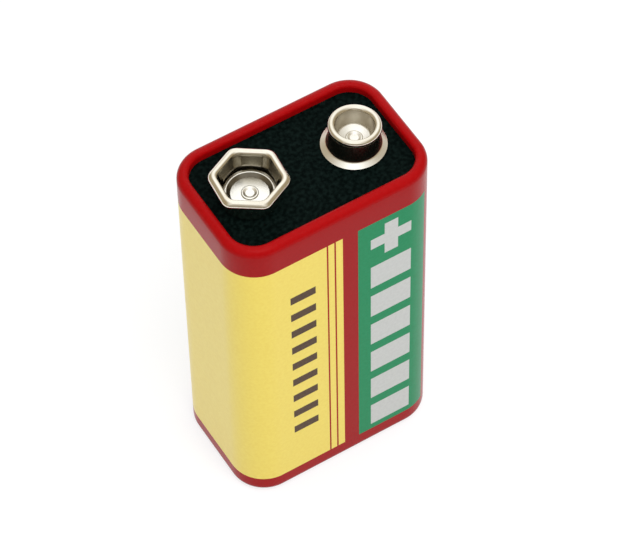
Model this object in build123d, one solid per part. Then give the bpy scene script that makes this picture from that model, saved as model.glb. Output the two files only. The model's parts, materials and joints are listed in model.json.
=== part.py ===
# Nine volt battery: six flat zinc and carbon cells in a pile, inside a printed steel jacket that is
# rolled over a top board with two snap terminals. Millimetres, +Z up. The origin is on the middle of
# the flat lip that the battery stands on; X runs along the two terminals, Y through the thickness.
import os
from math import radians, sin, tan

from build123d import *

os.makedirs("parts", exist_ok=True)

# Case, measured over the print
case_length = 25.0
case_width = 16.2
case_height = 45.6
corner_radius = 4.2
jacket_gauge = 0.25
print_thickness = 0.04

# Bead rolled over the top board, and lip turned under the bottom board
bead_outer_bend = 0.8
bead_inner_bend = 0.35
bead_width = 1.475
bead_depth = 1.1
lip_bend = 0.875
lip_width = 2.5

# Lock seam down the middle of the positive end of the case
seam_width = 2.5
seam_depth = 0.4
seam_margin = 0.5
seam_groove = 0.12

# Boards that close the case
top_board_thickness = 1.0
bottom_board_thickness = 1.0
board_clearance = 0.05

# Card liner between the jacket and the pile
liner_wall = 0.3

# Pile of flat cells
cell_count = 6
side_gap = 0.1
wrap_wall = 0.15
wrap_clearance = 0.05
wrap_lip = 1.2
envelope_wall = 0.2
envelope_lip = 1.2
carbon_film_thickness = 0.15
zinc_thickness = 0.5
separator_thickness = 0.2
contact_plate_thickness = 0.3
contact_plate_margin = 1.6
contact_space = 1.2

# Contact strips and the card between them and the pile
strip_gauge = 0.2
strip_width = 4.0
strip_clearance = 0.12
strip_bend = 0.2
strip_foot = 6.0
tab_reach = 5.0
tab_landing = 2.0
card_thickness = 0.3
card_edge = 0.6

# Terminals
terminal_inset = 6.05
rivet_clearance = 0.05
rivet_shank_radius = 0.6
rivet_head_radius = 0.95
rivet_head_height = 0.15
rivet_head_edge = 0.13
rivet_dimple_mouth = 0.76
rivet_dimple_radius = 0.48
rivet_dimple_depth = 0.14
clinch_radius = 1.1
clinch_height = 0.3

# Positive stud, drawn from one sheet with a rolled rim, a sunk floor and a neck that flares out
stud_gauge = 0.2
stud_height = 3.4
stud_head_radius = 2.9
stud_head_band = 0.8
stud_neck_radius = 2.52
stud_neck_slope = 0.2
stud_neck_bend = 0.12
stud_neck_flare = 0.45
stud_foot_bend = 0.43
stud_rim_width = 0.54
stud_rim_bend = 0.265
stud_well_taper = 0.42
stud_floor_height = 1.2
stud_floor_bend = 0.3
flange_radius = 3.66
flange_height = 0.56
flange_bend = 0.31

# Negative socket, a drawn cup with a six sided rim and six spring leaves
socket_gauge = 0.25
socket_height = 3.4
socket_turn = 24.6
socket_base_radius = 3.35
socket_flare_radius = 4.3
socket_rim_apothem = 3.84
socket_corner_radius = 0.5
rim_width = 0.8
rim_bend = 0.2
rim_depth = 0.5
leaf_grip_radius = 2.7
leaf_grip_depth = 0.08
leaf_grip_height = 1.75
leaf_tip_height = 1.25
leaf_tip_radius = 2.95
leaf_bend = 0.3
leaf_slot = 1.3
leaf_count = 6

# Dished cup in the socket under the leaves
cup_gauge = 0.25
cup_radius = 2.82
cup_height = 0.65
cup_mouth_radius = 2.56
cup_floor_radius = 2.12
cup_bend = 0.12

# Printed fields: heights and distances along the wide faces
print_bottom = 2.5
print_top = 41.5
yellow_edge = 0.0
pinstripe_width = 0.2
pinstripe_pitch = 0.95
pinstripe_count = 2
green_edge = 1.9
green_wrap_angle = 36.0
pale_width = 5.2
pale_offset = 0.234
pale_bottom = 3.4
pale_top = 40.4
pale_arm = 1.7
pale_block_length = 3.8
pale_block_count = 6
dark_left = -6.6
dark_right = -3.45
dark_bottom = 9.7
dark_top = 35.5
dark_bar_length = 1.25
dark_bar_count = 9

# Places worked out from the sizes above
half_length = case_length / 2
half_width = case_width / 2
jacket_half_x = half_length - print_thickness
jacket_half_y = half_width - print_thickness
jacket_corner = corner_radius - print_thickness
inside_half_x = jacket_half_x - jacket_gauge
inside_half_y = jacket_half_y - jacket_gauge
inside_corner = jacket_corner - jacket_gauge
board_half_x = inside_half_x - board_clearance
board_half_y = inside_half_y - board_clearance
board_corner = inside_corner - board_clearance
top_board_top = case_height - bead_depth
top_board_bottom = top_board_top - top_board_thickness
bottom_board_bottom = jacket_gauge
bottom_board_top = bottom_board_bottom + bottom_board_thickness
liner_half_x = inside_half_x - seam_depth
liner_half_y = inside_half_y - seam_depth
liner_corner = inside_corner - seam_depth
wrap_half_x = liner_half_x - liner_wall - strip_gauge - 2 * strip_clearance
wrap_half_y = liner_half_y - liner_wall - side_gap
wrap_corner = liner_corner - liner_wall - side_gap
cell_half_x = wrap_half_x - wrap_wall - wrap_clearance
cell_half_y = wrap_half_y - wrap_wall - wrap_clearance
cell_corner = wrap_corner - wrap_wall - wrap_clearance
pile_bottom = bottom_board_top + strip_gauge
contact_plate_top = top_board_bottom - contact_space
pile_top = contact_plate_top - contact_plate_thickness
cell_pitch = (pile_top - pile_bottom) / cell_count
positive_x = half_length - terminal_inset
negative_x = -positive_x
rivet_hole_radius = rivet_shank_radius + rivet_clearance
strip_underside = top_board_bottom - strip_gauge
strip_inner_x = wrap_half_x + strip_clearance
green_right = half_length - corner_radius + corner_radius * sin(radians(green_wrap_angle))
pale_middle = (green_edge + green_right) / 2 - pale_offset
pale_left = pale_middle - pale_width / 2
pale_right = pale_middle + pale_width / 2


def plate(half_x, half_y, corner, bottom, top):
    """Block with rounded upright corners, between two heights."""
    outline = RectangleRounded(2 * half_x, 2 * half_y, corner)
    return Pos(0, 0, bottom) * extrude(outline, top - bottom)


def sleeve(half_x, half_y, corner, wall, bottom, top):
    """Tube with rounded upright corners and an even wall."""
    bore = plate(half_x - wall, half_y - wall, corner - wall, bottom, top)
    return plate(half_x, half_y, corner, bottom, top) - bore


def box_between(low, high):
    """Square box from its lowest corner to its highest corner."""
    size = [b - a for a, b in zip(low, high)]
    middle = [(a + b) / 2 for a, b in zip(low, high)]
    return Pos(*middle) * Box(*size)


def disc(x, radius, bottom, top):
    """Upright cylinder on the terminal line."""
    return Pos(x, 0, (bottom + top) / 2) * Cylinder(radius, top - bottom)


def sheet_section(points, bends, gauge):
    """Cut through a formed sheet: its middle line with rounded bends, made as thick as the sheet."""
    return trace(FilletPolyline(*points, radius=bends), line_width=gauge)


def formed_round_case(section, half_x, half_y, corner):
    """Take a section round the case: four straight runs and four quarter turns.

    In the section x is minus the distance in from the face, and y is the height."""
    upright = Plane.XZ * section
    quarter = revolve(Plane.XZ * Pos(corner, 0) * section, axis=Axis.Z, revolution_arc=90)
    pieces = []
    for side in range(4):
        reach, run = (half_x, half_y) if side % 2 == 0 else (half_y, half_x)
        straight = extrude(Pos(reach, 0, 0) * upright, run - corner, both=True)
        pieces.append(Rot(0, 0, 90 * side) * straight)
        pieces.append(Rot(0, 0, 90 * side) * Pos(reach - corner, run - corner, 0) * quarter)
    return pieces[0] + pieces[1:]


def turned(points, bends, gauge):
    """Drawn round shell: a sheet section turned about the terminal's axis."""
    return revolve(Plane.XZ * sheet_section(points, bends, gauge), axis=Axis.Z)


def jacket():
    """Printed steel wall with the bead, the bottom lip and the lock seam, from one sheet."""
    middle = jacket_gauge / 2
    bead_drop = bead_width - print_thickness - middle
    section = sheet_section(
        [
            (-lip_width, middle),
            (-middle, middle),
            (-middle, case_height - middle),
            (-bead_drop, case_height - middle),
            (-bead_drop, top_board_top),
        ],
        [lip_bend, bead_outer_bend, bead_inner_bend],
        jacket_gauge,
    )
    shell = formed_round_case(section, jacket_half_x, jacket_half_y, jacket_corner)
    fold = box_between(
        (inside_half_x - seam_depth, -seam_width / 2, bottom_board_top + seam_margin),
        (inside_half_x, seam_width / 2, top_board_bottom - seam_margin),
    )
    groove = box_between(
        (jacket_half_x - seam_groove, seam_width / 2 - seam_groove, bottom_board_top),
        (half_length, seam_width / 2, top_board_bottom),
    )
    return shell + fold - groove


def pierced_for_rivets(board, bottom, top):
    """Board with a rivet hole under each terminal."""
    for x in (negative_x, positive_x):
        board = board - disc(x, rivet_hole_radius, bottom, top)
    return board


def top_board():
    """Board that carries both terminals."""
    board = plate(board_half_x, board_half_y, board_corner, top_board_bottom, top_board_top)
    return pierced_for_rivets(board, top_board_bottom, top_board_top)


def bottom_board():
    """Plate inside the bottom lip, rounded below to sit in the bend of the jacket."""
    board = plate(board_half_x, board_half_y, board_corner, bottom_board_bottom, bottom_board_top)
    return fillet(board.faces().sort_by(Axis.Z)[0].edges(), lip_bend - jacket_gauge / 2)


def liner():
    """Card tube that keeps the pile off the jacket and holds the two boards apart."""
    return sleeve(
        liner_half_x, liner_half_y, liner_corner, liner_wall, bottom_board_top, top_board_bottom
    )


def positive_stud():
    """Round stud: flange, neck, head with a rolled rim, and a floor sunk inside the head."""
    middle = stud_gauge / 2
    head = stud_head_radius - middle
    neck = stud_neck_radius - middle
    well = head - stud_rim_width
    brim = flange_radius - middle
    shell = turned(
        [
            (rivet_hole_radius, stud_floor_height - middle),
            (well - stud_well_taper, stud_floor_height - middle),
            (well, stud_height - middle),
            (head, stud_height - middle),
            (head, stud_height - stud_head_band),
            (neck, stud_height - stud_head_band - stud_neck_slope),
            (neck + stud_neck_flare, flange_height - middle),
            (brim, flange_height - middle),
            (brim, 0),
        ],
        [
            stud_floor_bend,
            stud_rim_bend,
            stud_rim_bend,
            stud_neck_bend,
            stud_neck_bend,
            stud_foot_bend,
            flange_bend,
        ],
        stud_gauge,
    )
    return Pos(positive_x, 0, top_board_top) * shell


def hexagon(apothem, corner):
    """Six sided outline with rounded corners, turned as the socket is."""
    outline = RegularPolygon(apothem, leaf_count, major_radius=False)
    outline = fillet(outline.vertices(), corner)
    return Rot(0, 0, socket_turn) * outline


def flared_cup(base_radius, flare_radius, apothem, bottom, top):
    """Cone that opens upwards, pressed flat on six sides where it gets wide enough."""
    cone = Pos(0, 0, (bottom + top) / 2) * Cone(base_radius, flare_radius, top - bottom)
    return cone & extrude(hexagon(apothem, socket_corner_radius), top)


def socket_rim_and_leaves():
    """Rolled rim and the spring leaves that hang inside it, one straight run for each side."""
    middle = socket_gauge / 2
    outer = socket_rim_apothem - middle
    inner = socket_rim_apothem - rim_width + middle
    section = sheet_section(
        [
            (outer, socket_height - rim_depth),
            (outer, socket_height - middle),
            (inner, socket_height - middle),
            (inner, socket_height - rim_depth),
            (leaf_grip_radius - leaf_grip_depth + middle, leaf_grip_height),
            (leaf_tip_radius + middle, leaf_tip_height),
        ],
        [rim_bend, rim_bend, leaf_bend, leaf_bend],
        socket_gauge,
    )
    side_angle = 360 / leaf_count
    side_length = 2 * socket_rim_apothem * tan(radians(side_angle / 2))
    run = extrude(Plane.XZ * section, side_length / 2, both=True)
    reach = 2 * socket_rim_apothem
    wedge = make_face(
        Polyline(
            (0, 0),
            (reach, -reach * tan(radians(side_angle / 2))),
            (reach, reach * tan(radians(side_angle / 2))),
            close=True,
        )
    )
    side = run & extrude(wedge, socket_height)
    slot = box_between(
        (0, -leaf_slot / 2, 0),
        (reach, leaf_slot / 2, socket_height - rim_depth),
    )
    sides = []
    slots = []
    for number in range(leaf_count):
        spin = socket_turn + side_angle * (number + 0.5)
        sides.append(Rot(0, 0, spin) * side)
        slots.append(Rot(0, 0, spin + side_angle / 2) * slot)
    ring = sides[0] + sides[1:]
    for slot in slots:
        ring = ring - slot
    ring = ring - disc(0, leaf_grip_radius, leaf_tip_height, socket_height - rim_depth)
    return ring & extrude(hexagon(socket_rim_apothem, socket_corner_radius), socket_height)


def negative_socket():
    """Socket: floor, flared wall, six sided rim and six spring leaves, from one sheet."""
    wall_top = socket_height - rim_depth
    outside = flared_cup(
        socket_base_radius, socket_flare_radius, socket_rim_apothem, 0, wall_top
    )
    inside = flared_cup(
        socket_base_radius - socket_gauge,
        socket_flare_radius - socket_gauge,
        socket_rim_apothem - socket_gauge,
        socket_gauge,
        wall_top,
    )
    body = outside - inside + socket_rim_and_leaves()
    body = body - disc(0, rivet_hole_radius, 0, socket_gauge)
    return Pos(negative_x, 0, top_board_top) * body


def negative_cup():
    """Shallow round dish on the floor of the socket, with a flat lip."""
    middle = cup_gauge / 2
    shell = turned(
        [
            (rivet_hole_radius, middle),
            (cup_floor_radius, middle),
            (cup_mouth_radius, cup_height - middle),
            (cup_radius, cup_height - middle),
        ],
        [cup_bend, cup_bend],
        cup_gauge,
    )
    return Pos(negative_x, 0, top_board_top + socket_gauge) * shell


def rivet(x, seat, tail):
    """Rivet with a dimpled head on its seat, clinched below the contact strip."""
    head = disc(x, rivet_head_radius, seat, seat + rivet_head_height)
    head = fillet(head.faces().sort_by(Axis.Z)[-1].edges(), rivet_head_edge)
    shank = disc(x, rivet_shank_radius, tail, seat)
    clinch = disc(x, clinch_radius, tail - clinch_height, tail)
    dimple = Cone(rivet_dimple_radius, rivet_dimple_mouth, rivet_dimple_depth)
    dimple = Pos(x, 0, seat + rivet_head_height - rivet_dimple_depth / 2) * dimple
    return head + shank + clinch - dimple


def positive_contact_tab():
    """Spring strip from the stud's rivet down to the plate on top of the pile."""
    middle = strip_gauge / 2
    outer_end = positive_x + strip_width / 2
    knee = positive_x - strip_width / 2
    landing = positive_x - tab_reach
    section = sheet_section(
        [
            (outer_end, top_board_bottom - middle),
            (knee, top_board_bottom - middle),
            (landing, contact_plate_top + middle),
            (landing - tab_landing, contact_plate_top + middle),
        ],
        [strip_bend, strip_bend],
        strip_gauge,
    )
    strip = extrude(Plane.XZ * section, strip_width / 2, both=True)
    return strip - disc(positive_x, rivet_hole_radius, strip_underside, top_board_bottom)


def negative_strip():
    """Strip from under the pile, up its negative end and across to the socket's rivet."""
    middle = strip_gauge / 2
    riser = -strip_inner_x - middle
    section = sheet_section(
        [
            (riser + strip_foot, bottom_board_top + middle),
            (riser, bottom_board_top + middle),
            (riser, top_board_bottom - middle),
            (negative_x + strip_width / 2, top_board_bottom - middle),
        ],
        [strip_bend, strip_bend],
        strip_gauge,
    )
    strip = extrude(Plane.XZ * section, strip_width / 2, both=True)
    return strip - disc(negative_x, rivet_hole_radius, strip_underside, top_board_bottom)


def contact_plate():
    """Plate on top of the pile that the positive tab presses on."""
    return plate(
        cell_half_x - contact_plate_margin,
        cell_half_y - contact_plate_margin,
        cell_corner - contact_plate_margin,
        pile_top,
        contact_plate_top,
    )


def insulating_card():
    """Card on the contact plate, under the negative strip and its rivet."""
    card = plate(
        cell_half_x, cell_half_y, cell_corner, contact_plate_top, contact_plate_top + card_thickness
    )
    keep = box_between(
        (-half_length, -half_width, 0),
        (positive_x - tab_reach - tab_landing - card_edge, half_width, case_height),
    )
    return card & keep


def pile_wrap():
    """Film sleeve round the pile, with its upper edge folded in over the last cell."""
    tube = sleeve(wrap_half_x, wrap_half_y, wrap_corner, wrap_wall, pile_bottom, pile_top)
    lip = sleeve(
        wrap_half_x, wrap_half_y, wrap_corner, wrap_wall + wrap_lip, pile_top, pile_top + wrap_wall
    )
    return tube + lip


def cell_pieces(bottom):
    """The five layers of one flat cell, from its carbon film to its cake of mix."""
    top = bottom + cell_pitch
    core_x = cell_half_x - envelope_wall
    core_y = cell_half_y - envelope_wall
    core_corner = cell_corner - envelope_wall
    window_x = core_x - envelope_lip
    window_y = core_y - envelope_lip
    window_corner = core_corner - envelope_lip
    film_top = bottom + carbon_film_thickness
    zinc_top = film_top + zinc_thickness
    separator_top = zinc_top + separator_thickness
    lip_bottom = top - envelope_wall
    cavity = (
        plate(window_x, window_y, window_corner, bottom, top)
        + plate(core_x, core_y, core_corner, film_top, lip_bottom)
    )
    cake = (
        plate(core_x, core_y, core_corner, separator_top, lip_bottom)
        + plate(window_x, window_y, window_corner, lip_bottom, top)
    )
    return {
        "carbon_film": plate(window_x, window_y, window_corner, bottom, film_top),
        "zinc_plate": plate(core_x, core_y, core_corner, film_top, zinc_top),
        "separator": plate(core_x, core_y, core_corner, zinc_top, separator_top),
        "mix_cake": cake,
        "envelope": plate(cell_half_x, cell_half_y, cell_corner, bottom, top) - cavity,
    }


def print_layer(left, right, bottom, top):
    """The film of ink between two distances along the wide faces, on both faces."""
    ring = sleeve(half_length, half_width, corner_radius, print_thickness, bottom, top)
    return ring & box_between((left, -half_width, bottom), (right, half_width, top))


def pale_mark_areas():
    """Plain plus sign with a row of plain blocks under it, as left, right, bottom, top."""
    middle_z = pale_top - pale_width / 2
    half_arm = pale_arm / 2
    areas = [
        (pale_left, pale_right, middle_z - half_arm, middle_z + half_arm),
        (pale_middle - half_arm, pale_middle + half_arm, pale_top - pale_width, pale_top),
    ]
    step = (pale_top - pale_width - pale_bottom) / pale_block_count
    for number in range(pale_block_count):
        bottom = pale_bottom + number * step
        areas.append((pale_left, pale_right, bottom, bottom + pale_block_length))
    return areas


def dark_mark_areas():
    """Row of plain bars, as left, right, bottom, top."""
    step = (dark_top - dark_bottom - dark_bar_length) / (dark_bar_count - 1)
    areas = []
    for number in range(dark_bar_count):
        bottom = dark_bottom + number * step
        areas.append((dark_left, dark_right, bottom, bottom + dark_bar_length))
    return areas


def marks(areas):
    """Ink of a group of marks, on both wide faces."""
    layers = [print_layer(*area) for area in areas]
    return layers[0] + layers[1:]


def without_areas(field, areas):
    """Field of ink with windows left open for the marks and lines."""
    for left, right, bottom, top in areas:
        field = field - box_between((left, -half_width, bottom), (right, half_width, top))
    return field


def yellow_print():
    """Yellow field: round the negative end and half of each wide face, split by fine lines."""
    lines = []
    for number in range(1, pinstripe_count + 1):
        middle = yellow_edge - number * pinstripe_pitch
        left = middle - pinstripe_width / 2
        lines.append((left, left + pinstripe_width, print_bottom, print_top))
    field = print_layer(-half_length, yellow_edge, print_bottom, print_top)
    return without_areas(field, dark_mark_areas() + lines)


def green_print():
    """Green field on each wide face, ending part of the way round the corner."""
    field = print_layer(green_edge, green_right, print_bottom, print_top)
    return without_areas(field, pale_mark_areas())


nodes = {
    "jacket": jacket(),
    "yellow_print": yellow_print(),
    "green_print": green_print(),
    "pale_marks": marks(pale_mark_areas()),
    "dark_marks": marks(dark_mark_areas()),
    "top_board": top_board(),
    "bottom_board": bottom_board(),
    "liner": liner(),
    "positive_stud": positive_stud(),
    "positive_rivet": rivet(positive_x, top_board_top + stud_floor_height, strip_underside),
    "positive_contact_tab": positive_contact_tab(),
    "negative_socket": negative_socket(),
    "negative_cup": negative_cup(),
    "negative_rivet": rivet(negative_x, top_board_top + socket_gauge + cup_gauge, strip_underside),
    "negative_strip": negative_strip(),
    "insulating_card": insulating_card(),
    "contact_plate": contact_plate(),
    "pile_wrap": pile_wrap(),
}
for number in range(cell_count):
    pieces = cell_pieces(pile_bottom + number * cell_pitch)
    for name, solid in pieces.items():
        nodes[f"cell_{number + 1}_{name}"] = solid

for name, solid in nodes.items():
    export_step(solid, f"parts/{name}.step")
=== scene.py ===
# Nine volt battery standing on its base: a printed steel jacket rolled over a black board, with a
# round nickel stud at one end of the board and a six sided nickel socket at the other.
# Lengths are written in millimetres, and MM turns them into metres.
import json
from math import atan2, cos, pi, radians, sin, sqrt, tan

import bmesh
import bpy
from mathutils import Matrix, Vector


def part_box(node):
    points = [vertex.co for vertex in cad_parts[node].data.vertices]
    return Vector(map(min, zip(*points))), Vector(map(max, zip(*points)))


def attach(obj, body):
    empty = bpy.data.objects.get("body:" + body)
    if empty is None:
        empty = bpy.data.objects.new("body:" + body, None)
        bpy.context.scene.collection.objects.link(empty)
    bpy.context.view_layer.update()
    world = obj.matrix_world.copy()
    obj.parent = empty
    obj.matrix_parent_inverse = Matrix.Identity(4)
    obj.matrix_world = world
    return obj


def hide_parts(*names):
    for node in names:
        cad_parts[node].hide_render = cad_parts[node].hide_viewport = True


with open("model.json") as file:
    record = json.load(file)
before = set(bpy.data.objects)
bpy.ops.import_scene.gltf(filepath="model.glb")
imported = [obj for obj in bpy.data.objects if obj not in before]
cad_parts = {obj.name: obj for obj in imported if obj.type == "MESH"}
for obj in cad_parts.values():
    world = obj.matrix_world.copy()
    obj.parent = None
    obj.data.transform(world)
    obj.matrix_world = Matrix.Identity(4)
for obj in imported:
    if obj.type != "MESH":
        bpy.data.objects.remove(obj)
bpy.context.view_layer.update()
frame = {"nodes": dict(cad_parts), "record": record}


# Jacket: one sheet of printed tinplate, bent round the cells, rolled inwards over the top board as a
# round bead and turned in under the bottom board. Its red is the base coat; the yellow and green
# fields and the plain marks are printed over it before the sheet is bent.
MM = 0.001
JACKET_GAUGE = 0.25
BEAD_OUTER_BEND = 0.8
BEAD_INNER_BEND = 0.34
BEAD_WIDTH = 1.32
LIP_BEND = 0.875
LIP_WIDTH = 2.54
CORNER_RADIUS = 4.2
CORNER_STEPS = 20
BEND_STEPS = 10
PINSTRIPE_PITCH = 0.95
PINSTRIPE_WIDTH = 0.2
PINSTRIPE_COUNT = 2
PALE_ARM = 1.7
PALE_BLOCK = 3.8
PALE_BLOCK_COUNT = 6
DARK_BAR = 1.25
DARK_BAR_COUNT = 9
SEAM_EDGE = 1.25
SEAM_GROOVE = 0.12
SEAM_LOW = 1.3
SEAM_HIGH = 43.45
EDGE_STEP = 0.02
WIDE_SPAN = 8.0
NARROW_SPAN = 3.5
FACE_STEP = 1.0
EDGE_DIGITS = 4
NO_TURN = 1e-6
PIN_HOLE = 0.0005
SHARP_EDGE = 40.0
PRINT_GRAIN = 2600.0
VARNISH_RIPPLE = 300.0
VARNISH_STRENGTH = 0.06
VARNISH_DEPTH = 0.05


def new_finish(name):
    """A new material with its nodes and the links between them."""
    finish = bpy.data.materials.new(name)
    finish.use_nodes = True
    return finish, finish.node_tree.nodes, finish.node_tree.links


def surface_of(nodes):
    """The surface shader that a new material starts with."""
    return next(node for node in nodes if node.type == "BSDF_PRINCIPLED")


def noise_at(nodes, links, scale, detail=3.0, stretch=(1.0, 1.0, 1.0)):
    """Noise fixed to the object, with its scale in waves to the metre."""
    place = nodes.new("ShaderNodeTexCoord")
    stretcher = nodes.new("ShaderNodeMapping")
    stretcher.inputs["Scale"].default_value = stretch
    links.new(place.outputs["Object"], stretcher.inputs["Vector"])
    noise = nodes.new("ShaderNodeTexNoise")
    noise.inputs["Scale"].default_value = scale
    noise.inputs["Detail"].default_value = detail
    links.new(stretcher.outputs["Vector"], noise.inputs["Vector"])
    return noise


def ramp_between(nodes, links, source, low, high, start=0.35, end=0.65):
    """Colours from low to high as the source value goes from start to end."""
    ramp = nodes.new("ShaderNodeValToRGB")
    ramp.color_ramp.elements[0].position = start
    ramp.color_ramp.elements[0].color = (*low, 1.0)
    ramp.color_ramp.elements[1].position = end
    ramp.color_ramp.elements[1].color = (*high, 1.0)
    links.new(source, ramp.inputs["Fac"])
    return ramp


def add_bump(nodes, links, height, strength, distance_mm):
    """Raises the surface by a height value."""
    bump = nodes.new("ShaderNodeBump")
    bump.inputs["Strength"].default_value = strength
    bump.inputs["Distance"].default_value = distance_mm * MM
    links.new(height, bump.inputs["Height"])
    links.new(bump.outputs["Normal"], surface_of(nodes).inputs["Normal"])
    return bump


def printed_ink(name, dark, light, roughness, gloss):
    """Ink on tinplate: two close tones in fine grains, under a slightly uneven varnish."""
    finish, nodes, links = new_finish(name)
    surface = surface_of(nodes)
    surface.inputs["Roughness"].default_value = roughness
    surface.inputs["Specular IOR Level"].default_value = gloss
    grain = noise_at(nodes, links, PRINT_GRAIN, detail=2.0)
    tone = ramp_between(nodes, links, grain.outputs["Fac"], dark, light)
    links.new(tone.outputs["Color"], surface.inputs["Base Color"])
    ripple = noise_at(nodes, links, VARNISH_RIPPLE, detail=1.0)
    add_bump(nodes, links, ripple.outputs["Fac"], VARNISH_STRENGTH, VARNISH_DEPTH)
    return finish


red_ink = printed_ink(
    "red_base_coat",
    dark=(0.345, 0.001, 0.002),
    light=(0.365, 0.002, 0.003),
    roughness=0.24,
    gloss=0.10,
)
yellow_ink = printed_ink(
    "yellow_field",
    dark=(0.88, 0.68, 0.095),
    light=(0.91, 0.72, 0.115),
    roughness=0.30,
    gloss=0.5,
)
green_ink = printed_ink(
    "green_field",
    dark=(0.002, 0.235, 0.085),
    light=(0.005, 0.255, 0.10),
    roughness=0.30,
    gloss=0.15,
)
pale_ink = printed_ink(
    "pale_marks_ink",
    dark=(0.56, 0.57, 0.55),
    light=(0.60, 0.61, 0.59),
    roughness=0.30,
    gloss=0.3,
)
dark_ink = printed_ink(
    "dark_marks_ink",
    dark=(0.055, 0.025, 0.010),
    light=(0.085, 0.042, 0.016),
    roughness=0.30,
    gloss=0.2,
)


def rounded_path(points, bends, steps=BEND_STEPS):
    """Samples along a line whose bends are arcs, each as x, z and the unit vector to its left."""
    samples = []
    turns = [0.0] + list(bends) + [0.0]
    for index, ((x, z), bend) in enumerate(zip(points, turns)):
        before = points[max(index, 1) - 1]
        here = points[max(index, 1)]
        heading_in = atan2(here[1] - before[1], here[0] - before[0])
        after = points[min(index + 1, len(points) - 1)]
        from_point = points[min(index, len(points) - 2)]
        heading_out = atan2(after[1] - from_point[1], after[0] - from_point[0])
        turn = (heading_out - heading_in + pi) % (2 * pi) - pi
        if bend == 0.0 or abs(turn) < NO_TURN:
            samples.append((x, z, -sin(heading_in), cos(heading_in)))
            continue
        side = 1.0 if turn > 0 else -1.0
        setback = bend * tan(abs(turn) / 2)
        start_x = x - setback * cos(heading_in)
        start_z = z - setback * sin(heading_in)
        centre_x = start_x - side * bend * sin(heading_in)
        centre_z = start_z + side * bend * cos(heading_in)
        for step in range(steps + 1):
            heading = heading_in + turn * step / steps
            left_x, left_z = -sin(heading), cos(heading)
            samples.append(
                (centre_x - side * bend * left_x, centre_z - side * bend * left_z, left_x, left_z)
            )
    return samples


def sheet_loop(path, gauge):
    """Closed outline of a sheet that follows a path: its right side out, its left side back."""
    right = [(x - lx * gauge / 2, z - lz * gauge / 2) for x, z, lx, lz in path]
    left = [(x + lx * gauge / 2, z + lz * gauge / 2) for x, z, lx, lz in path]
    return right + left[::-1]


def mesh_piece(name, corners, faces, finishes, finish_of_face, sharp_edge=SHARP_EDGE):
    """Mesh object from corners in millimetres, shaded smooth but for its sharp edges.

    Each face takes the one of the finishes that is listed for it."""
    mesh = bpy.data.meshes.new(name)
    mesh.from_pydata([(x * MM, y * MM, z * MM) for x, y, z in corners], [], faces)
    for finish in finishes:
        mesh.materials.append(finish)
    finish_numbers = [finishes.index(finish) for finish in finish_of_face]
    mesh.polygons.foreach_set("material_index", finish_numbers)
    tidy = bmesh.new()
    tidy.from_mesh(mesh)
    bmesh.ops.remove_doubles(tidy, verts=tidy.verts, dist=PIN_HOLE * MM)
    bmesh.ops.recalc_face_normals(tidy, faces=tidy.faces)
    tidy.to_mesh(mesh)
    tidy.free()
    mesh.shade_smooth()
    mesh.set_sharp_from_angle(angle=radians(sharp_edge))
    piece = bpy.data.objects.new(name, mesh)
    bpy.context.scene.collection.objects.link(piece)
    return piece


def swept_faces(station_count, loop_count):
    """Quads of a closed loop carried round a closed row of stations."""
    faces = []
    for station in range(station_count):
        after = (station + 1) % station_count
        for place in range(loop_count):
            beyond = (place + 1) % loop_count
            faces.append(
                (
                    station * loop_count + place,
                    after * loop_count + place,
                    after * loop_count + beyond,
                    station * loop_count + beyond,
                )
            )
    return faces


def steps_between(low, high, count):
    """Evenly spaced values, both ends included."""
    return [low + (high - low) * step / count for step in range(count + 1)]


def case_stations(half_x, half_y, corner, wide_stops, narrow_stops):
    """Places round the case, each as x, y and the outward unit vector.

    They start at the left end of the front face and go round by the positive end. The stops are
    the places wanted along the wide faces and along the narrow ones."""
    stations = []
    flat_x = half_x - corner
    flat_y = half_y - corner
    for x in [stop for stop in wide_stops if -flat_x < stop < flat_x]:
        stations.append((x, -half_y, 0.0, -1.0))
    stations += corner_stations(flat_x, -flat_y, corner, -90.0)
    for y in [stop for stop in narrow_stops if -flat_y < stop < flat_y]:
        stations.append((half_x, y, 1.0, 0.0))
    stations += corner_stations(flat_x, flat_y, corner, 0.0)
    for x in [stop for stop in reversed(wide_stops) if -flat_x < stop < flat_x]:
        stations.append((x, half_y, 0.0, 1.0))
    stations += corner_stations(-flat_x, flat_y, corner, 90.0)
    for y in [stop for stop in reversed(narrow_stops) if -flat_y < stop < flat_y]:
        stations.append((-half_x, y, -1.0, 0.0))
    stations += corner_stations(-flat_x, -flat_y, corner, 180.0)
    return stations


def corner_stations(centre_x, centre_y, corner, first_angle):
    """Places round one quarter turn of the case."""
    stations = []
    for step in range(CORNER_STEPS + 1):
        angle = radians(first_angle + 90.0 * step / CORNER_STEPS)
        out_x, out_y = cos(angle), sin(angle)
        stations.append((centre_x + corner * out_x, centre_y + corner * out_y, out_x, out_y))
    return stations


def box_mm(node):
    """Lowest and highest corner of a solid of the frame, in millimetres."""
    low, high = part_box(node)
    return [value / MM for value in low], [value / MM for value in high]


print_low, print_high = box_mm("yellow_print")
green_low, green_high = box_mm("green_print")
pale_low, pale_high = box_mm("pale_marks")
dark_low, dark_high = box_mm("dark_marks")
case_half_x = -print_low[0]
case_half_y = -print_low[1]
case_top = box_mm("jacket")[1][2]
board_top = box_mm("top_board")[1][2]

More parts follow.
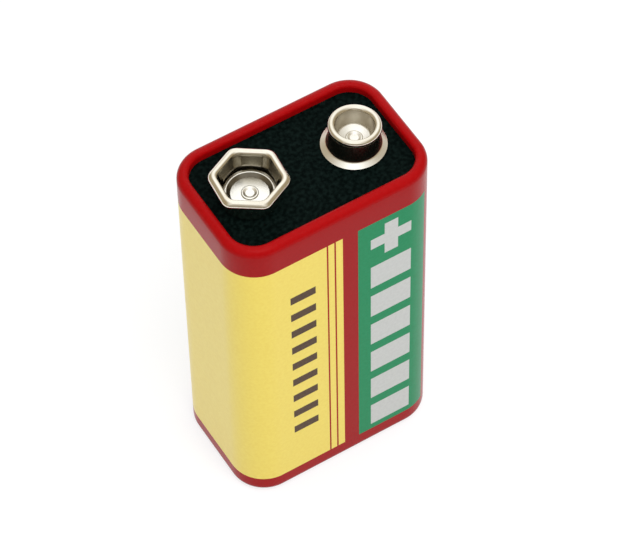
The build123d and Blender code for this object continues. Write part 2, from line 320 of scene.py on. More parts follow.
# The marks on the fields: a plus sign over plain blocks on the green one, plain bars and two fine
# lines on the yellow one, each as left, right, bottom and top on the wide faces.
pale_middle = (pale_low[0] + pale_high[0]) / 2
plus_length = pale_high[0] - pale_low[0]
plus_middle = pale_high[2] - plus_length / 2
pale_areas = [
    (pale_low[0], pale_high[0], plus_middle - PALE_ARM / 2, plus_middle + PALE_ARM / 2),
    (pale_middle - PALE_ARM / 2, pale_middle + PALE_ARM / 2, pale_high[2] - plus_length, pale_high[2]),
]
block_step = (pale_high[2] - plus_length - pale_low[2]) / PALE_BLOCK_COUNT
for number in range(PALE_BLOCK_COUNT):
    block_low = pale_low[2] + number * block_step
    pale_areas.append((pale_low[0], pale_high[0], block_low, block_low + PALE_BLOCK))
bar_step = (dark_high[2] - dark_low[2] - DARK_BAR) / (DARK_BAR_COUNT - 1)
dark_areas = []
for number in range(DARK_BAR_COUNT):
    bar_low = dark_low[2] + number * bar_step
    dark_areas.append((dark_low[0], dark_high[0], bar_low, bar_low + DARK_BAR))
line_areas = []
for number in range(1, PINSTRIPE_COUNT + 1):
    line_left = -number * PINSTRIPE_PITCH - PINSTRIPE_WIDTH / 2
    line_areas.append((line_left, line_left + PINSTRIPE_WIDTH, print_low[2], print_high[2]))

all_areas = pale_areas + dark_areas + line_areas
wide_stops = sorted(
    {round(edge, EDGE_DIGITS) for area in all_areas for edge in area[:2]}
    | {0.0, round(green_low[0], EDGE_DIGITS)}
    | set(steps_between(-WIDE_SPAN, WIDE_SPAN, round(2 * WIDE_SPAN / FACE_STEP)))
)
height_stops = sorted(
    {round(edge, EDGE_DIGITS) for area in all_areas for edge in area[2:]}
    | {round(print_low[2], EDGE_DIGITS), round(print_high[2], EDGE_DIGITS)}
    | {SEAM_LOW - EDGE_STEP, SEAM_LOW, SEAM_HIGH, SEAM_HIGH + EDGE_STEP}
)
middle_line = JACKET_GAUGE / 2
bead_drop = BEAD_WIDTH - middle_line
wall_points = [(-middle_line, height) for height in height_stops]
jacket_path = rounded_path(
    [(-LIP_WIDTH, middle_line), (-middle_line, middle_line)]
    + wall_points
    + [
        (-middle_line, case_top - middle_line),
        (-bead_drop, case_top - middle_line),
        (-bead_drop, board_top),
    ],
    [LIP_BEND] + [0.0] * len(wall_points) + [BEAD_OUTER_BEND, BEAD_INNER_BEND],
)
jacket_loop = sheet_loop(jacket_path, JACKET_GAUGE)
seam_stops = {
    SEAM_EDGE - SEAM_GROOVE,
    SEAM_EDGE - SEAM_GROOVE + EDGE_STEP,
    SEAM_EDGE - EDGE_STEP,
    SEAM_EDGE,
}
narrow_stops = sorted(
    seam_stops | set(steps_between(-NARROW_SPAN, NARROW_SPAN, round(2 * NARROW_SPAN / FACE_STEP)))
)
stations = case_stations(case_half_x, case_half_y, CORNER_RADIUS, wide_stops, narrow_stops)
jacket_corners = []
for x, y, out_x, out_y in stations:
    at_seam = out_x == 1.0 and SEAM_EDGE - SEAM_GROOVE < y < SEAM_EDGE
    for place, (outward, height) in enumerate(jacket_loop):
        outer_side = place < len(jacket_path)
        sunk = SEAM_GROOVE if at_seam and outer_side and SEAM_LOW <= height <= SEAM_HIGH else 0.0
        jacket_corners.append((x + out_x * (outward - sunk), y + out_y * outward, height))
jacket_faces = swept_faces(len(stations), len(jacket_loop))


def inside_any(x, z, areas):
    """Whether a place on a wide face lies in one of the areas."""
    return any(left < x < right and bottom < z < top for left, right, bottom, top in areas)


def ink_at(x, z):
    """Ink on the outside of the jacket at a place along the wide faces and a height."""
    if not print_low[2] < z < print_high[2]:
        return red_ink
    if x < 0.0:
        if inside_any(x, z, line_areas):
            return red_ink
        return dark_ink if inside_any(x, z, dark_areas) else yellow_ink
    if green_low[0] < x < green_high[0]:
        return pale_ink if inside_any(x, z, pale_areas) else green_ink
    return red_ink


jacket_inks = []
for number, face in enumerate(jacket_faces):
    place = number % len(jacket_loop)
    middle = [sum(jacket_corners[corner][axis] for corner in face) / 4 for axis in range(3)]
    outer_side = place < len(jacket_path) - 1
    jacket_inks.append(ink_at(middle[0], middle[2]) if outer_side else red_ink)
jacket = mesh_piece(
    "printed_jacket",
    jacket_corners,
    jacket_faces,
    [red_ink, yellow_ink, green_ink, pale_ink, dark_ink],
    jacket_inks,
)
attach(jacket, "root")
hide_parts("jacket", "yellow_print", "green_print", "pale_marks", "dark_marks")


# Top board: a stamped plate of black fibre board with a fine leather grain, held under the bead. Both
# terminals are riveted to it.
GRAIN_SIZE = 0.42
FLECK_SCALE = 2200.0


def grained_board():
    """Black board with a pebbled grain and a few paler flecks of worn fibre."""
    finish, nodes, links = new_finish("grained_black_board")
    surface = surface_of(nodes)
    surface.inputs["Roughness"].default_value = 0.62
    surface.inputs["Specular IOR Level"].default_value = 0.02
    place = nodes.new("ShaderNodeTexCoord")
    pebbles = nodes.new("ShaderNodeTexVoronoi")
    pebbles.inputs["Scale"].default_value = 1.0 / (GRAIN_SIZE * MM)
    links.new(place.outputs["Object"], pebbles.inputs["Vector"])
    fleck = noise_at(nodes, links, FLECK_SCALE, detail=4.0)
    tone = ramp_between(
        nodes,
        links,
        fleck.outputs["Fac"],
        low=(0.0008, 0.0028, 0.0024),
        high=(0.0050, 0.0115, 0.0098),
        start=0.4,
        end=0.72,
    )
    links.new(tone.outputs["Color"], surface.inputs["Base Color"])
    add_bump(nodes, links, pebbles.outputs["Distance"], strength=0.5, distance_mm=0.05)
    return finish


def dress(node, finish):
    """Gives a solid of the frame its finish."""
    solid = frame["nodes"][node]
    solid.data.materials.clear()
    solid.data.materials.append(finish)


dress("top_board", grained_board())


# Bottom board: a plain plate of moulded black plastic that closes the case under the cells. The
# turned lip of the jacket holds it in.
MOTTLE_SCALE = 1500.0


def moulded_black():
    """Black moulded plastic with a fine matt surface."""
    finish, nodes, links = new_finish("moulded_black_plate")
    surface = surface_of(nodes)
    surface.inputs["Roughness"].default_value = 0.55
    mottle = noise_at(nodes, links, MOTTLE_SCALE, detail=3.0)
    tone = ramp_between(
        nodes,
        links,
        mottle.outputs["Fac"],
        low=(0.009, 0.009, 0.010),
        high=(0.016, 0.016, 0.017),
    )
    links.new(tone.outputs["Color"], surface.inputs["Base Color"])
    add_bump(nodes, links, mottle.outputs["Fac"], strength=0.3, distance_mm=0.03)
    return finish


dress("bottom_board", moulded_black())


# Positive stud: one nickel plated sheet drawn into a sloping flange, a neck and a head, with its rim
# rolled in and a dished floor sunk inside the head. It stands on the board, held by its rivet.
STUD_GAUGE = 0.2
STUD_HEIGHT = 3.4
STUD_HEAD_RADIUS = 2.9
STUD_HEAD_BAND = 0.6
STUD_NECK_RADIUS = 2.52
STUD_NECK_SLOPE = 0.2
STUD_NECK_BEND = 0.12
STUD_FOOT_RADIUS = 2.97
STUD_FOOT_BEND = 0.43
STUD_RIM_WIDTH = 0.54
STUD_RIM_BEND = 0.265
STUD_WELL_TAPER = 0.42
STUD_FLOOR_HEIGHT = 1.12
STUD_FLOOR_SEAT = 1.0
STUD_FLOOR_RISE = 0.2
STUD_FLOOR_BEND = 0.25
STUD_LEAN = 3.4
STUD_LEAN_TOWARDS = 16.0
STUD_LEAN_RISE = 0.9
FLANGE_RADIUS = 3.61
FLANGE_HEIGHT = 0.56
FLANGE_EDGE_HEIGHT = 0.22
TURN_STEPS = 120
RIVET_HOLE = 0.65
POLISH_CLOUD = 500.0
DRAWING_MARKS = 1800.0


def nickel_plate(name, roughness, low, high):
    """Nickel plate with fine drawing marks and a slightly uneven polish."""
    finish, nodes, links = new_finish(name)
    surface = surface_of(nodes)
    surface.inputs["Metallic"].default_value = 1.0
    surface.inputs["Roughness"].default_value = roughness
    cloud = noise_at(nodes, links, POLISH_CLOUD, detail=2.0)
    tone = ramp_between(nodes, links, cloud.outputs["Fac"], low, high)
    links.new(tone.outputs["Color"], surface.inputs["Base Color"])
    marks = noise_at(nodes, links, DRAWING_MARKS, detail=3.0, stretch=(1.0, 1.0, 4.0))
    add_bump(nodes, links, marks.outputs["Fac"], strength=0.10, distance_mm=0.02)
    return finish


nickel = nickel_plate(
    "bright_nickel", roughness=0.15, low=(0.76, 0.72, 0.62), high=(0.83, 0.80, 0.72)
)
# A rougher copy of the nickel whose darker colour is painted shade on the wall inside the stud's well.
satin_shade_nickel = nickel_plate(
    "satin_shade_nickel", roughness=0.30, low=(0.56, 0.52, 0.44), high=(0.64, 0.60, 0.52)
)
# A lighter copy of the same nickel, painted light: it goes on the stud's floor and brim, the cup and
# the rivet heads.
painted_light_nickel = nickel_plate(
    "painted_light_nickel", roughness=0.26, low=(0.92, 0.91, 0.86), high=(0.97, 0.96, 0.92)
)
# A darker copy of the nickel, painted shade on the leaves and the inside of the socket and just under
# its rim.
painted_shade_nickel = nickel_plate(
    "painted_shade_nickel", roughness=0.26, low=(0.36, 0.33, 0.26), high=(0.44, 0.41, 0.33)
)
# A very dark copy of the nickel: on the stud's neck a painted reflection of the black board, on the
# cup's sloping wall painted shade.
shade_and_dark_reflection_nickel = nickel_plate(
    "shade_and_dark_reflection_nickel", roughness=0.22, low=(0.18, 0.165, 0.135), high=(0.24, 0.22, 0.18)
)


def leaned(x, y, height, lean):
    """A place on a stem that stands on its foot and leans over above it, by an angle in degrees."""
    tilt = radians(lean) * min(max(height / STUD_LEAN_RISE, 0.0), 1.0)
    towards = radians(STUD_LEAN_TOWARDS)
    ahead = x * cos(towards) + y * sin(towards)
    moved = ahead * cos(tilt) + height * sin(tilt) - ahead
    return x + moved * cos(towards), y + moved * sin(towards), height * cos(tilt) - ahead * sin(tilt)


def turned_piece(
    name, loop, centre_x, base_height, finishes, finish_at=None, steps=TURN_STEPS, lean=0.0
):
    """Piece turned from a closed outline of radius and height.

    It has the first finish, but for the bands after the places that are given another."""
    corners = []
    for step in range(steps):
        angle = 2 * pi * step / steps
        for radius, height in loop:
            x, y, z = leaned(radius * cos(angle), radius * sin(angle), height, lean)
            corners.append((centre_x + x, y, base_height + z))
    faces = swept_faces(steps, len(loop))
    finish_at = finish_at or {}
    finish_of_band = [finish_at.get(place, finishes[0]) for place in range(len(loop))]
    piece = mesh_piece(name, corners, faces, finishes, finish_of_band * steps)
    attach(piece, "root")
    return piece


def seen_band(loop, band):
    """Place in a closed outline of the band after a sample of its path, on the side that is seen."""
    return len(loop) - 2 - band


stud_low, stud_high = box_mm("positive_stud")
positive_x = (stud_low[0] + stud_high[0]) / 2
stud_middle = STUD_GAUGE / 2
stud_head = STUD_HEAD_RADIUS - stud_middle
stud_neck = STUD_NECK_RADIUS - stud_middle
stud_well = stud_head - STUD_RIM_WIDTH
stud_foot = STUD_FOOT_RADIUS - stud_middle
stud_brim = FLANGE_RADIUS - stud_middle / 2
stud_path = rounded_path(
    [
        (RIVET_HOLE, STUD_FLOOR_HEIGHT - stud_middle),
        (STUD_FLOOR_SEAT, STUD_FLOOR_HEIGHT - stud_middle),
        (stud_well - STUD_WELL_TAPER, STUD_FLOOR_HEIGHT + STUD_FLOOR_RISE - stud_middle),
        (stud_well, STUD_HEIGHT - stud_middle),
        (stud_head, STUD_HEIGHT - stud_middle),
        (stud_head, STUD_HEIGHT - STUD_HEAD_BAND),
        (stud_neck, STUD_HEIGHT - STUD_HEAD_BAND - STUD_NECK_SLOPE),
        (stud_foot, FLANGE_HEIGHT - stud_middle),
        (stud_brim, FLANGE_EDGE_HEIGHT - stud_middle),
    ],
    [
        STUD_FLOOR_BEND,
        STUD_FLOOR_BEND,
        STUD_RIM_BEND,
        STUD_RIM_BEND,
        STUD_NECK_BEND,
        STUD_NECK_BEND,
        STUD_FOOT_BEND,
    ],
)
stud_loop = sheet_loop(stud_path, STUD_GAUGE)

# Each bend of the path gives this many bands: the floor comes first, then the wall of the well, and
# after the head the neck and the brim, which starts half way round the bend at the neck's foot.
bend_bands = BEND_STEPS + 1
well_wall_band = 2 * bend_bands
neck_start = 5 * bend_bands
brim_start = 7 * bend_bands - BEND_STEPS // 2
brim_end = 7 * bend_bands + 1
stud_finishes = {}
# Painted light on the floor and the brim, painted shade on the wall of the well, and a painted dark
# reflection of the board on the neck.
for band in range(well_wall_band):
    stud_finishes[seen_band(stud_loop, band)] = painted_light_nickel
stud_finishes[seen_band(stud_loop, well_wall_band)] = satin_shade_nickel
for band in range(neck_start, brim_start):
    stud_finishes[seen_band(stud_loop, band)] = shade_and_dark_reflection_nickel
for band in range(brim_start, brim_end):
    stud_finishes[seen_band(stud_loop, band)] = painted_light_nickel
stud = turned_piece(
    "drawn_stud",
    stud_loop,
    positive_x,
    board_top,
    [nickel, satin_shade_nickel, painted_light_nickel, shade_and_dark_reflection_nickel],
    stud_finishes,
    lean=STUD_LEAN,
)
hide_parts("positive_stud")


# Rivets: soft nickel plated steel, one through the floor of each terminal, with a dimpled head above
# and a clinched end under the board.
RIVET_HEAD_RADIUS = 0.95
RIVET_HEAD_HEIGHT = 0.15
RIVET_HEAD_EDGE = 0.13
RIVET_DIMPLE_MOUTH = 0.76
RIVET_DIMPLE_RADIUS = 0.48
RIVET_DIMPLE_DEPTH = 0.14
RIVET_SHANK_RADIUS = 0.6
RIVET_BEND_STEPS = 6
RIVET_TURN_STEPS = 64
CLINCH_RADIUS = 1.1
CLINCH_HEIGHT = 0.3
CLINCH_EDGE = 0.08
DIMPLE_EDGE = 0.04
DIMPLE_BEND = 0.12


def rivet_piece(name, node, centre_x, seat, lean=0.0):
    """Rivet with its head on a seat and its clinched end at the node's lowest level."""
    tail = box_mm(node)[0][2] - board_top
    dimple_floor = seat + RIVET_HEAD_HEIGHT - RIVET_DIMPLE_DEPTH
    outline = rounded_path(
        [
            (0.0, tail),
            (CLINCH_RADIUS, tail),
            (CLINCH_RADIUS, tail + CLINCH_HEIGHT),
            (RIVET_SHANK_RADIUS, tail + CLINCH_HEIGHT),
            (RIVET_SHANK_RADIUS, seat),
            (RIVET_HEAD_RADIUS, seat),
            (RIVET_HEAD_RADIUS, seat + RIVET_HEAD_HEIGHT),
            (RIVET_DIMPLE_MOUTH, seat + RIVET_HEAD_HEIGHT),
            (RIVET_DIMPLE_RADIUS, dimple_floor),
            (0.0, dimple_floor),
        ],
        [CLINCH_EDGE, 0.0, 0.0, 0.0, 0.0, RIVET_HEAD_EDGE, DIMPLE_EDGE, DIMPLE_BEND],
        RIVET_BEND_STEPS,
    )
    loop = [(x, z) for x, z, _, _ in outline]
    # The rivet takes the lighter copy of the nickel, painted light.
    piece = turned_piece(
        name, loop, centre_x, board_top, [painted_light_nickel], steps=RIVET_TURN_STEPS, lean=lean
    )
    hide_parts(node)


rivet_piece("stud_rivet", "positive_rivet", positive_x, STUD_FLOOR_HEIGHT, STUD_LEAN)


# Negative socket: one nickel plated sheet drawn into a cup that is round on the board and pressed six
# sided at its rolled rim. Six spring leaves hang inside the rim, parted by slots at its corners.
SOCKET_GAUGE = 0.25
SOCKET_HEIGHT = 3.4
SOCKET_TURN = 24.6
SOCKET_BASE_RADIUS = 3.35
SOCKET_RIM_APOTHEM = 3.66
RIM_WIDTH = 0.62
RIM_BEND = 0.2
RIM_DEPTH = 0.5
BAND_APOTHEM = 4.2
BAND_DEPTH = 0.6
BAND_BEND = 0.25
SKIRT_APOTHEM = 3.5
SKIRT_DEPTH = 0.8
LEAF_GRIP_RADIUS = 2.7
LEAF_GRIP_HEIGHT = 1.75
LEAF_TIP_HEIGHT = 1.25
LEAF_TIP_RADIUS = 2.95
LEAF_BEND = 0.3
LEAF_COUNT = 6
SLOT_HALF_ANGLE = 9.5
SOCKET_CORNER = 0.32
SOCKET_FLOOR_BEND = 0.25
SOCKET_ROUND_FLOOR = 2.0
SOCKET_SHARP_EDGE = 50.0
SOCKET_BEND_STEPS = 8
SKIRT_STEPS = 10
SIDE_ANGLE = 360.0 / LEAF_COUNT
SLOT_ANGLE = SIDE_ANGLE / 2 - SLOT_HALF_ANGLE

socket_low, socket_high = box_mm("negative_socket")
negative_x = (socket_low[0] + socket_high[0]) / 2
socket_middle = SOCKET_GAUGE / 2
rim_outer = SOCKET_RIM_APOTHEM - socket_middle
rim_inner = SOCKET_RIM_APOTHEM - RIM_WIDTH + socket_middle
skirt_top = SOCKET_HEIGHT - RIM_DEPTH
skirt_turn = SOCKET_HEIGHT - SKIRT_DEPTH
skirt_radius = SOCKET_BASE_RADIUS - socket_middle
skirt_points = []
for step in range(1, SKIRT_STEPS + 1):
    climb = step / SKIRT_STEPS
    skirt_points.append(
        (
            skirt_radius + (SKIRT_APOTHEM - socket_middle - skirt_radius) * climb,
            socket_middle + (skirt_turn - socket_middle) * climb,
        )
    )
socket_points = (
    [(RIVET_HOLE, socket_middle), (skirt_radius, socket_middle)]
    + skirt_points
    + [
        (BAND_APOTHEM - socket_middle, SOCKET_HEIGHT - BAND_DEPTH),
        (rim_outer, SOCKET_HEIGHT - socket_middle),
        (rim_inner, SOCKET_HEIGHT - socket_middle),
        (rim_inner, skirt_top),
        (LEAF_GRIP_RADIUS + socket_middle, LEAF_GRIP_HEIGHT),
        (LEAF_TIP_RADIUS + socket_middle, LEAF_TIP_HEIGHT),
    ]
)
socket_bends = (
    [SOCKET_FLOOR_BEND]
    + [0.0] * (len(skirt_points) - 1)
    + [BAND_BEND, BAND_BEND, RIM_BEND, RIM_BEND, LEAF_BEND, LEAF_BEND]
)
socket_path = rounded_path(socket_points, socket_bends, SOCKET_BEND_STEPS)
socket_loop = sheet_loop(socket_path, SOCKET_GAUGE)

# Places in the path: the skirt ends where it turns out into the lip, and the slots start just under
# the rim, four bends on.
skirt_end = SOCKET_BEND_STEPS + 1 + SKIRT_STEPS
lip_start = skirt_end + SOCKET_BEND_STEPS
lip_end = lip_start + SOCKET_BEND_STEPS // 2 + 2
slot_start = skirt_end + 4 * (SOCKET_BEND_STEPS + 1) - 2


def six_sidedness(height):
    """How far the socket is pressed at a height: round is 0, six sided is 1."""
    share = min(max((height - socket_middle) / (skirt_top - socket_middle), 0.0), 1.0)
    return share * share * (3.0 - 2.0 * share)


def side_reach(offset):
    """Reach of a six sided outline of unit apothem, at an angle from the middle of a side."""
    half_side = pi / LEAF_COUNT
    away = abs(radians(offset))
    if tan(away) < (1.0 - SOCKET_CORNER) * tan(half_side):
        return 1.0 / cos(away)
    corner_centre = (1.0 - SOCKET_CORNER) / cos(half_side)
    from_corner = half_side - away
    aside = corner_centre * sin(from_corner)
    return corner_centre * cos(from_corner) + sqrt(SOCKET_CORNER**2 - aside**2)


# Angles along one side, from its middle: wide steps over the leaf and close ones round the corner.
half_offsets = [4.0, 8.0, 12.0, 16.0, SLOT_ANGLE, 22.0, 24.5, 27.0, 28.5]
other_half = [-offset for offset in reversed(half_offsets)]
side_offsets = [-SIDE_ANGLE / 2] + other_half + [0.0] + half_offsets
side_angles = [(leaf, offset) for leaf in range(LEAF_COUNT) for offset in side_offsets]
socket_corners = []
for leaf, offset in side_angles:
    angle = radians(SOCKET_TURN + SIDE_ANGLE / 2 + SIDE_ANGLE * leaf + offset)
    spread = side_reach(offset)
    for radius, height in socket_loop:
        reach = radius
        if radius > SOCKET_ROUND_FLOOR:
            reach *= 1.0 + six_sidedness(height) * (spread - 1.0)
        socket_corners.append(
            (negative_x + reach * cos(angle), reach * sin(angle), board_top + height)
        )
loop_count = len(socket_loop)
path_count = len(socket_path)
station_count = len(side_angles)


def in_slot(first, second):
    """Whether the strip between two stations lies in a slot."""
    middle = (abs(side_angles[first][1]) + abs(side_angles[second][1])) / 2
    return middle > SLOT_ANGLE


socket_faces = []
socket_finishes = []
for face_number, face in enumerate(swept_faces(station_count, loop_count)):
    station, place = divmod(face_number, loop_count)
    after = (station + 1) % station_count
    on_leaf = slot_start <= place < loop_count - 1 - slot_start
    if not (on_leaf and in_slot(station, after)):
        # The leaves, the inside of the sheet and the outside where the skirt turns out under the rim
        # are painted darker for shade.
        in_painted_shade = place >= slot_start or lip_start <= place < lip_end
        socket_faces.append(face)
        socket_finishes.append(painted_shade_nickel if in_painted_shade else nickel)
for station in range(station_count):
    before = (station - 1) % station_count
    after = (station + 1) % station_count
    first = station * loop_count
    if in_slot(station, after):
        second = after * loop_count
        back = loop_count - 1 - slot_start
        socket_faces.append((first + slot_start, second + slot_start, second + back, first + back))
        socket_finishes.append(nickel)
    if in_slot(station, after) != in_slot(before, station):
        for place in range(slot_start, path_count - 1):
            back = loop_count - 1 - place
            socket_faces.append((first + place, first + place + 1, first + back - 1, first + back))
            socket_finishes.append(nickel)
socket = mesh_piece(
    "six_sided_socket",
    socket_corners,
    socket_faces,
    [nickel, painted_shade_nickel],
    socket_finishes,
    SOCKET_SHARP_EDGE,
)
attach(socket, "root")
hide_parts("negative_socket")


# Cup: a shallow round dish with a flat lip, pressed from nickel plated sheet. It lies on the floor of
# the socket, under the leaves, and the rivet goes through both.
CUP_GAUGE = 0.25
CUP_RADIUS = 2.82
CUP_HEIGHT = 0.65
CUP_FLOOR_RADIUS = 2.12
CUP_MOUTH_RADIUS = 2.56
CUP_BEND = 0.12
CUP_SLOPE_START = 5
CUP_SLOPE_END = 15
cup_middle = CUP_GAUGE / 2
cup_path = rounded_path(
    [
        (RIVET_HOLE, cup_middle),
        (CUP_FLOOR_RADIUS, cup_middle),
        (CUP_MOUTH_RADIUS, CUP_HEIGHT - cup_middle),
        (CUP_RADIUS, CUP_HEIGHT - cup_middle),
    ],
    [CUP_BEND, CUP_BEND],
)
cup_loop = sheet_loop(cup_path, CUP_GAUGE)
# Painted light on the cup's floor and lip, painted shade on its sloping wall.
cup_finishes = {}
for band in range(CUP_SLOPE_START, CUP_SLOPE_END):
    cup_finishes[seen_band(cup_loop, band)] = shade_and_dark_reflection_nickel
cup = turned_piece(
    "socket_cup",
    cup_loop,
    negative_x,
    board_top + SOCKET_GAUGE,
    [painted_light_nickel, shade_and_dark_reflection_nickel],
    cup_finishes,
)
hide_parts("negative_cup")
rivet_piece("socket_rivet", "negative_rivet", negative_x, SOCKET_GAUGE + CUP_GAUGE)


# Inside the jacket: the card liner, the film round the pile, the six flat cells with their carbon,
# zinc, paper and pressed powder, and the metal strips that join the pile to the rivets.
STOCK_GRAIN = 700.0
METAL_GRAIN = 900.0
FILM_GRAIN = 300.0
POWDER_GRAIN = 1600.0
EVEN = (1.0, 1.0, 1.0)
ROLLED = (1.0, 12.0, 1.0)


def inner_stock(name, low, high, roughness, metallic=0.0, scale=STOCK_GRAIN, stretch=EVEN):
    """Plain stock for a hidden piece: two tones in a grain, and a matching fine relief."""
    finish, nodes, links = new_finish(name)
    surface = surface_of(nodes)
    surface.inputs["Roughness"].default_value = roughness
    surface.inputs["Metallic"].default_value = metallic
    grain = noise_at(nodes, links, scale, detail=4.0, stretch=stretch)
    tone = ramp_between(nodes, links, grain.outputs["Fac"], low, high)
    links.new(tone.outputs["Color"], surface.inputs["Base Color"])
    add_bump(nodes, links, grain.outputs["Fac"], strength=0.25, distance_mm=0.03)
    return finish


stocks = {
    "liner_card": inner_stock(
        "grey_card", low=(0.22, 0.16, 0.10), high=(0.33, 0.26, 0.17), roughness=0.85
    ),
    "tinned_strip": inner_stock(
        "tinned_strip",
        low=(0.55, 0.55, 0.53),
        high=(0.68, 0.67, 0.65),
        roughness=0.3,
        metallic=1.0,
        scale=METAL_GRAIN,
        stretch=ROLLED,
    ),
    "wrap_film": inner_stock(
        "shrunk_film",
        low=(0.55, 0.55, 0.52),
        high=(0.66, 0.66, 0.63),
        roughness=0.25,
        scale=FILM_GRAIN,
    ),
    "clear_film": inner_stock(
        "envelope_film",
        low=(0.62, 0.62, 0.64),
        high=(0.72, 0.72, 0.74),
        roughness=0.2,
        scale=FILM_GRAIN,
    ),
    "carbon_film": inner_stock(
        "carbon_film", low=(0.004, 0.004, 0.004), high=(0.012, 0.012, 0.012), roughness=0.6
    ),
    "zinc": inner_stock(
        "rolled_zinc",
        low=(0.38, 0.39, 0.41),
        high=(0.52, 0.53, 0.55),
        roughness=0.45,
        metallic=1.0,
        scale=METAL_GRAIN,
        stretch=ROLLED,
    ),
    "separator_paper": inner_stock(
        "separator_paper", low=(0.68, 0.64, 0.56), high=(0.80, 0.77, 0.70), roughness=0.9
    ),
    "mix": inner_stock(
        "pressed_powder",
        low=(0.003, 0.003, 0.003),
        high=(0.010, 0.010, 0.010),
        roughness=0.95,
        scale=POWDER_GRAIN,
    ),
}
for subpart in frame["record"]["subparts"]:
    if subpart["material_slot"] in stocks and subpart["node"] not in ("top_board", "bottom_board"):
        dress(subpart["node"], stocks[subpart["material_slot"]])


# Studio: a white table inside a white tent, with one soft lamp above and in front. The metal sees the
# tent white along the view, dimmer at its sides and dark at its mouth, and the camera sees plain white.
TABLE_SIZE = 3000.0
TABLE_DROP = 0.02
TABLE_GREY = 0.5
TABLE_ROUGHNESS = 0.9
TABLE_SHADE = 0.32
TABLE_GLOW = 0.70
LAMP_PLACE = (-20.0, -300.0, 600.0)
LAMP_SIZE = 400.0
LAMP_POWER = 2.3
ROOM_LEVEL = 0.82
WHITE = (1.0, 1.0, 1.0)
TENT_TURN = -30.7
TENT_BRIGHT = (1.3, 1.287, 1.248)
TENT_DIM = (0.42, 0.3444, 0.2268)
BRIGHT_UNTIL = 0.16
DIM_FROM = 0.72
MOUTH_CLIMB = 8.0
MOUTH_DARK = (0.30, 0.26, 0.21)
MOUTH_EDGE = 0.70
MOUTH_INSIDE = 0.86


def either_ray(nodes, links, first, second):
    """One where either of two kinds of ray arrives, and nought elsewhere."""
    either = nodes.new("ShaderNodeMath")
    either.operation = "MAXIMUM"
    links.new(first, either.inputs[0])
    links.new(second, either.inputs[1])
    return either.outputs[0]


def chosen_shader(nodes, links, choice, otherwise, chosen):
    """The chosen shader where the choice is one, and the other where it is nought."""
    mix = nodes.new("ShaderNodeMixShader")
    links.new(choice, mix.inputs[0])
    links.new(otherwise, mix.inputs[1])
    links.new(chosen, mix.inputs[2])
    return mix.outputs[0]


def white_table():
    """Matt white surface that is seen as plain white but for the object's shadow."""
    finish, nodes, links = new_finish("white_table")
    surface = surface_of(nodes)
    surface.inputs["Base Color"].default_value = (TABLE_GREY, TABLE_GREY, TABLE_GREY, 1.0)
    surface.inputs["Roughness"].default_value = TABLE_ROUGHNESS
    surface.inputs["Specular IOR Level"].default_value = 0.0
    output = next(node for node in nodes if node.type == "OUTPUT_MATERIAL")
    shade = nodes.new("ShaderNodeBsdfDiffuse")
    shade.inputs["Color"].default_value = (TABLE_SHADE, TABLE_SHADE, TABLE_SHADE, 1.0)
    glow = nodes.new("ShaderNodeEmission")
    glow.inputs["Strength"].default_value = TABLE_GLOW
    both = nodes.new("ShaderNodeAddShader")
    links.new(shade.outputs[0], both.inputs[0])
    links.new(glow.outputs[0], both.inputs[1])
    rays = nodes.new("ShaderNodeLightPath").outputs
    camera_or_gloss = either_ray(nodes, links, rays["Is Camera Ray"], rays["Is Glossy Ray"])
    seen = either_ray(nodes, links, camera_or_gloss, rays["Is Transmission Ray"])
    table_shader = chosen_shader(nodes, links, seen, surface.outputs[0], both.outputs[0])
    links.new(table_shader, output.inputs["Surface"])
    return finish


half_table = TABLE_SIZE / 2
table_mesh = bpy.data.meshes.new("table")
table_mesh.from_pydata(
    [
        (x * half_table * MM, y * half_table * MM, -TABLE_DROP * MM)
        for x, y in ((-1, -1), (1, -1), (1, 1), (-1, 1))
    ],
    [],
    [(0, 1, 2, 3)],
)
table_mesh.materials.append(white_table())
table = bpy.data.objects.new("table", table_mesh)
bpy.context.scene.collection.objects.link(table)

case_middle = Vector((0.0, 0.0, case_top / 2 * MM))
lamp_light = bpy.data.lights.new("front_lamp", "AREA")
lamp_light.shape = "SQUARE"
lamp_light.size = LAMP_SIZE * MM
lamp_light.energy = LAMP_POWER
lamp = bpy.data.objects.new("front_lamp", lamp_light)
lamp.location = [value * MM for value in LAMP_PLACE]
lamp.rotation_euler = (case_middle - lamp.location).to_track_quat("-Z", "Y").to_euler()
lamp.visible_glossy = False
bpy.context.scene.collection.objects.link(lamp)

world = bpy.data.worlds.new("white_tent")
bpy.context.scene.world = world
world.use_nodes = True
tent_nodes = world.node_tree.nodes
tent_links = world.node_tree.links
room_light = next(node for node in tent_nodes if node.type == "BACKGROUND")
tent_output = next(node for node in tent_nodes if node.type == "OUTPUT_WORLD")
room_light.inputs["Strength"].default_value = ROOM_LEVEL
room_light.inputs["Color"].default_value = (*WHITE, 1.0)
white_beyond = tent_nodes.new("ShaderNodeBackground")
white_beyond.inputs["Strength"].default_value = 1.0
white_beyond.inputs["Color"].default_value = (*WHITE, 1.0)
direction = tent_nodes.new("ShaderNodeTexCoord")
tent_turn = radians(TENT_TURN)
mouth_climb = radians(MOUTH_CLIMB)
tent_across = (cos(tent_turn), sin(tent_turn), 0.0)
tent_mouth = (
    sin(tent_turn) * cos(mouth_climb),
    -cos(tent_turn) * cos(mouth_climb),
    sin(mouth_climb),
)


def lean_to(axis):
    """How far a direction seen from the object leans to an axis, from -1 to 1."""
    share = tent_nodes.new("ShaderNodeVectorMath")
    share.operation = "DOT_PRODUCT"
    tent_links.new(direction.outputs["Generated"], share.inputs[0])
    share.inputs[1].default_value = axis
    return share.outputs["Value"]


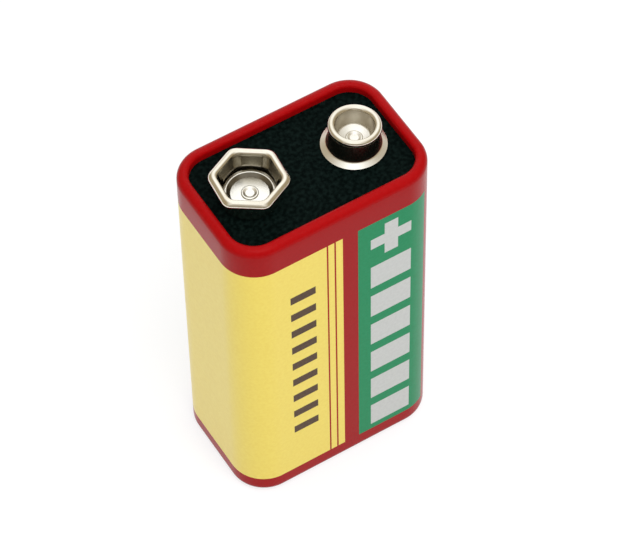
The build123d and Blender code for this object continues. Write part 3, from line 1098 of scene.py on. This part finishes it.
aside = tent_nodes.new("ShaderNodeMath")
aside.operation = "ABSOLUTE"
tent_links.new(lean_to(tent_across), aside.inputs[0])
tent_wall = ramp_between(
    tent_nodes, tent_links, aside.outputs[0], TENT_BRIGHT, TENT_DIM, BRIGHT_UNTIL, DIM_FROM
)
tent_opening = ramp_between(
    tent_nodes, tent_links, lean_to(tent_mouth), WHITE, MOUTH_DARK, MOUTH_EDGE, MOUTH_INSIDE
)
tent_view = tent_nodes.new("ShaderNodeMix")
tent_view.data_type = "RGBA"
tent_view.blend_type = "MULTIPLY"
tent_view.inputs[0].default_value = 1.0
tent_links.new(tent_wall.outputs["Color"], tent_view.inputs[6])
tent_links.new(tent_opening.outputs["Color"], tent_view.inputs[7])
tent_seen = tent_nodes.new("ShaderNodeBackground")
tent_links.new(tent_view.outputs[2], tent_seen.inputs["Color"])
rays = tent_nodes.new("ShaderNodeLightPath").outputs
gloss_or_glass = either_ray(
    tent_nodes, tent_links, rays["Is Glossy Ray"], rays["Is Transmission Ray"]
)
room_or_tent = chosen_shader(
    tent_nodes, tent_links, gloss_or_glass, room_light.outputs[0], tent_seen.outputs[0]
)
tent_shader = chosen_shader(
    tent_nodes, tent_links, rays["Is Camera Ray"], room_or_tent, white_beyond.outputs[0]
)
tent_links.new(tent_shader, tent_output.inputs["Surface"])


# Camera: from above the front left edge of the case, with a long lens, as in the photograph. Its
# place was found by fitting the case's outline.
CAMERA_AZIMUTH = -30.664
CAMERA_ELEVATION = 54.043
CAMERA_ROLL = -1.230
CAMERA_DISTANCE = 388.546
CAMERA_SHIFT_RIGHT = 1.3539
CAMERA_SHIFT_UP = 1.1325
FOCAL_PIXELS = 3500.63
PHOTO_WIDTH = 635
SENSOR_WIDTH = 36.0
NEAREST_SEEN = 10.0
turn = radians(CAMERA_AZIMUTH)
climb = radians(CAMERA_ELEVATION)
roll = radians(CAMERA_ROLL)
back = Vector((sin(turn) * cos(climb), -cos(turn) * cos(climb), sin(climb)))
level_right = Vector((cos(turn), sin(turn), 0.0))
level_up = back.cross(level_right)
right = cos(roll) * level_right + sin(roll) * level_up
up = cos(roll) * level_up - sin(roll) * level_right
eye = (
    Vector((0.0, 0.0, case_top / 2))
    + back * CAMERA_DISTANCE
    + right * CAMERA_SHIFT_RIGHT
    + up * CAMERA_SHIFT_UP
)
lens = bpy.data.cameras.new("camera")
lens.sensor_width = SENSOR_WIDTH
lens.lens = FOCAL_PIXELS * SENSOR_WIDTH / PHOTO_WIDTH
lens.clip_start = NEAREST_SEEN * MM
camera = bpy.data.objects.new("camera", lens)
camera_turn = Matrix((right, up, back)).transposed().to_4x4()
camera.matrix_world = Matrix.Translation(eye * MM) @ camera_turn
bpy.context.scene.collection.objects.link(camera)
bpy.context.scene.camera = camera
bpy.context.scene.view_settings.view_transform = "Standard"
